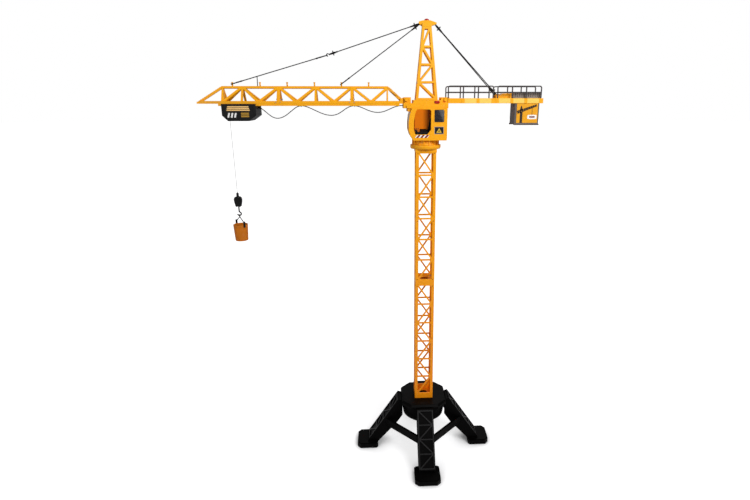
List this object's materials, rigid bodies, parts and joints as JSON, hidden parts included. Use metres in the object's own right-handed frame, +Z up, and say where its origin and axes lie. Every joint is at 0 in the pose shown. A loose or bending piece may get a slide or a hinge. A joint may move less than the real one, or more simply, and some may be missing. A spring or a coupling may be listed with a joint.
{
  "type": "toy tower crane",
  "caption": "Toy tower crane: lattice mast on splayed legs, slewing jib with cab, travelling hoist trolley, hook and bucket, counter-jib with counterweight.",
  "frame": {"origin": "on the floor under the mast's axis, in the plane of the four foot pads", "axes": "+Z up along the mast, -X along the jib, +X along the counter-jib, -Y the side that the cab's open window faces"},
  "size_m": [0.918, 0.426, 1.28],
  "materials": {
    "base_plastic": "moulded black plastic, fine grain, satin",
    "crane_plastic": "moulded golden-orange plastic, smooth",
    "screw_steel": "zinc-plated screws",
    "gear_plastic": "natural nylon",
    "motor_steel": "motor cans and the steel ballast slug",
    "cab_glazing": "smoked, glossy pane, opaque from outside",
    "black_plastic": "moulded black plastic, satin",
    "red_plastic": "translucent red lens plastic",
    "grey_plastic": "moulded dark grey plastic, satin",
    "stay_cord": "braided black cord, waxed",
    "cable_rubber": "black insulated cable",
    "hoist_string": "twisted pale string",
    "bail_wire": "dark wire",
    "bucket_plastic": "moulded amber-brown plastic"
  },
  "bodies": {
    "base": {"base_deck": "base_plastic", "base_bowl": "base_plastic", "leg_left": "base_plastic", "leg_front": "base_plastic", "leg_right": "base_plastic", "leg_rear": "base_plastic", "base_struts": "base_plastic", "mast_lower": "crane_plastic", "mast_upper": "crane_plastic", "mast_screws": "screw_steel", "mast_flange": "crane_plastic", "slew_gear": "gear_plastic", "slew_washer": "screw_steel"},
    "upperworks": {"turntable": "crane_plastic", "slew_motor": "motor_steel", "saddle": "crane_plastic", "cab_shell": "crane_plastic", "cab_windscreen": "cab_glazing", "cab_window": "cab_glazing", "cab_seat": "black_plastic", "cab_console": "black_plastic", "cab_lamp": "red_plastic", "tower_head": "crane_plastic", "head_cap": "crane_plastic", "beacon": "red_plastic", "jib_root": "crane_plastic", "jib_middle": "crane_plastic", "jib_tip": "crane_plastic", "jib_rail": "crane_plastic", "jib_pins": "screw_steel", "counter_deck": "crane_plastic", "railings": "grey_plastic", "stay_bracket": "crane_plastic", "winch_cover": "grey_plastic", "counterweight_box": "grey_plastic", "ballast": "motor_steel", "stay_hooks": "black_plastic", "stay_long": "stay_cord", "stay_short": "stay_cord", "stay_rear": "stay_cord", "festoon_cable": "cable_rubber"},
    "slew_pinion": {"slew_pinion": "gear_plastic"},
    "trolley": {"trolley_shell_front": "black_plastic", "trolley_shell_rear": "black_plastic", "trolley_screws": "screw_steel", "hoist_motor": "motor_steel", "travel_motor": "motor_steel", "hoist_line": "hoist_string"},
    "outer_wheels": {"trolley_wheels_outer": "black_plastic"},
    "inner_wheels": {"trolley_wheels_inner": "black_plastic"},
    "outer_carrier": {"cable_carrier_outer": "black_plastic"},
    "inner_carrier": {"cable_carrier_inner": "black_plastic"},
    "hoist_drum": {"hoist_drum": "gear_plastic"},
    "hoist_pinion": {"hoist_pinion": "gear_plastic"},
    "hook_block": {"hook_block": "black_plastic"},
    "hook": {"hook": "black_plastic"},
    "bail": {"bail": "bail_wire"},
    "bucket": {"bucket": "bucket_plastic", "bucket_ears": "black_plastic"}
  },
  "joints": [
    {"name": "slew", "type": "hinge", "parent": "base", "child": "upperworks", "pos_m": [0, 0, 0.962], "axis": [0, 0, 1], "range_deg": [-175, 175]},
    {"name": "pinion_spin", "type": "hinge", "parent": "upperworks", "child": "slew_pinion", "pos_m": [0.022, 0, 0.965], "axis": [0, 0, 1], "range_deg": [-470, 470]},
    {"name": "trolley_travel", "type": "slide", "parent": "upperworks", "child": "trolley", "axis": [1, 0, 0], "range_m": [0, 0.33], "deforming": ["festoon_cable"]},
    {"name": "outer_wheels_roll", "type": "hinge", "parent": "trolley", "child": "outer_wheels", "pos_m": [-0.518, 0, 1.07], "axis": [0, 1, 0], "range_deg": [-20, 5920]},
    {"name": "inner_wheels_roll", "type": "hinge", "parent": "trolley", "child": "inner_wheels", "pos_m": [-0.464, 0, 1.07], "axis": [0, 1, 0], "range_deg": [-20, 5920]},
    {"name": "outer_carrier_slide", "type": "slide", "parent": "upperworks", "child": "outer_carrier", "axis": [1, 0, 0], "range_m": [0, 0.24]},
    {"name": "inner_carrier_slide", "type": "slide", "parent": "upperworks", "child": "inner_carrier", "axis": [1, 0, 0], "range_m": [0, 0.12]},
    {"name": "hook_lift", "type": "slide", "parent": "trolley", "child": "hook_block", "axis": [0, 0, 1], "range_m": [-0.68, 0.17], "deforming": ["hoist_line"]},
    {"name": "drum_spin", "type": "hinge", "parent": "trolley", "child": "hoist_drum", "pos_m": [-0.519, 0, 1.045], "axis": [0, 1, 0], "range_deg": [-6600, 1700]},
    {"name": "hoist_pinion_spin", "type": "hinge", "parent": "trolley", "child": "hoist_pinion", "pos_m": [-0.5076, 0, 1.045], "axis": [0, 1, 0], "range_deg": [-4700, 18400]},
    {"name": "hook_swivel", "type": "hinge", "parent": "hook_block", "child": "hook", "pos_m": [-0.525, 0, 0.78], "axis": [0, 0, 1], "continuous": true},
    {"name": "bail_swing", "type": "hinge", "parent": "hook", "child": "bail", "pos_m": [-0.525, 0, 0.7663], "axis": [1, 0, 0], "range_deg": [-25, 25]},
    {"name": "bucket_tilt", "type": "hinge", "parent": "bail", "child": "bucket", "pos_m": [-0.525, 0, 0.749], "axis": [0.7071, -0.7071, 0], "range_deg": [-70, 70]}
  ],
  "couplings": [
    {"joint": "pinion_spin", "follows": "slew", "ratio": 2.6667},
    {"joint": "outer_wheels_roll", "follows": "trolley_travel", "rad_per_m": 285.71},
    {"joint": "inner_wheels_roll", "follows": "trolley_travel", "rad_per_m": 285.71},
    {"joint": "outer_carrier_slide", "follows": "trolley_travel", "ratio": 0.7065},
    {"joint": "inner_carrier_slide", "follows": "trolley_travel", "ratio": 0.3377},
    {"joint": "drum_spin", "follows": "hook_lift", "rad_per_m": 166.67},
    {"joint": "hoist_pinion_spin", "follows": "hook_lift", "rad_per_m": -466.67}
  ]
}
